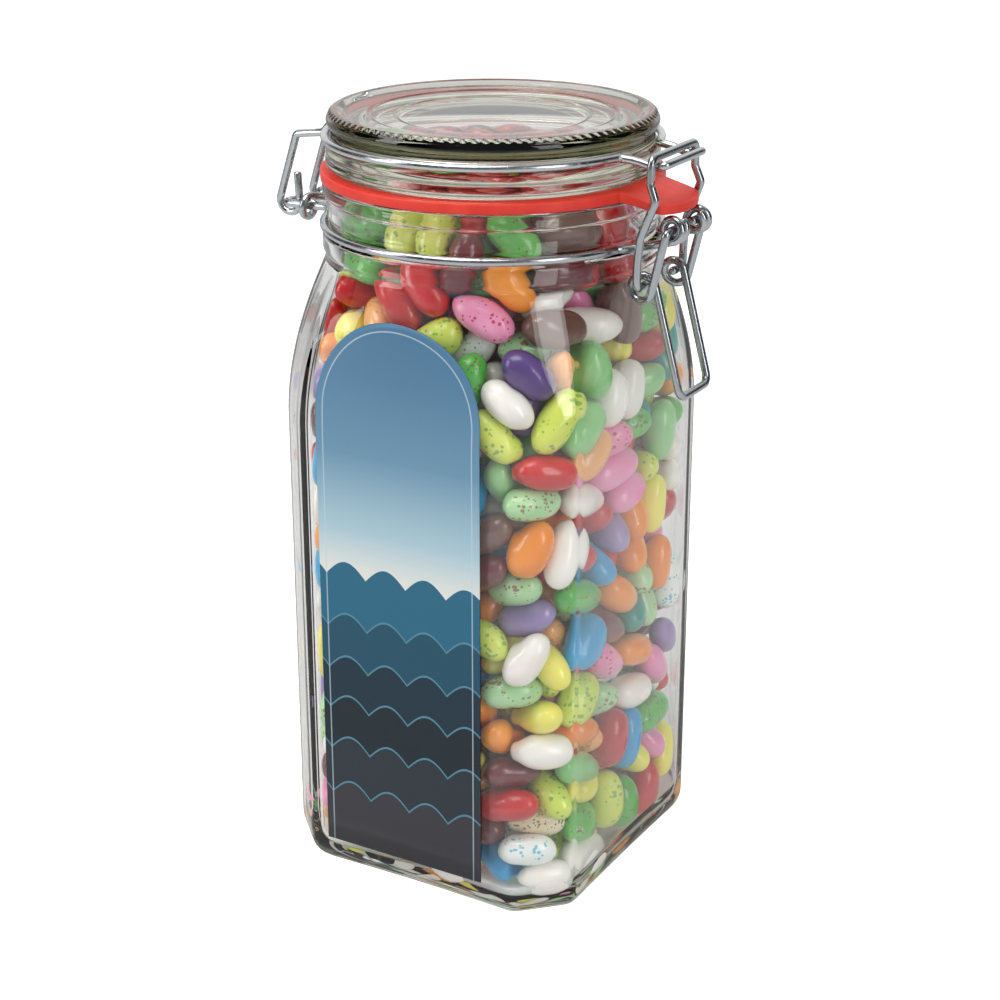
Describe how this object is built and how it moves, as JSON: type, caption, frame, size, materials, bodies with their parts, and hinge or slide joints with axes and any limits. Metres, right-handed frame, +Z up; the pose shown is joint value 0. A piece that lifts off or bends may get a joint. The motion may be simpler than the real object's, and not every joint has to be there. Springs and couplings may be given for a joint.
{
  "type": "filled clip-top glass jar",
  "caption": "Square glass jar with cut corners, shut by a wire clasp over a rubber seal and filled with coloured jelly beans behind an arched front label.",
  "frame": {"origin": "centre of the jar's flat underside", "axes": "+Z up along the jar's axis, +X towards the clasp, -X towards the hinge, -Y towards the label"},
  "size_m": [0.1384, 0.101, 0.233],
  "materials": {
    "jar_glass": "clear pressed soda-lime glass",
    "lid_glass": "clear pressed soda-lime glass, knurled edge",
    "seal_rubber": "orange-red natural rubber, satin",
    "neck_wire_steel": "bright zinc-plated spring wire",
    "lid_wire_steel": "bright zinc-plated spring wire",
    "lever_steel": "bright zinc-plated spring wire",
    "hook_steel": "bright zinc-plated spring wire",
    "bean_glaze": "glazed sugar shells in many colours",
    "label_paper": "coated paper sticker in bands of blue and cream"
  },
  "bodies": {
    "root": {"glass_jar": "jar_glass", "glass_lid": "lid_glass", "rubber_seal": "seal_rubber", "neck_wire": "neck_wire_steel", "lid_wire": "lid_wire_steel", "lever": "lever_steel", "hook": "hook_steel", "jelly_beans": "bean_glaze", "label": "label_paper"}
  },
  "joints": []
}
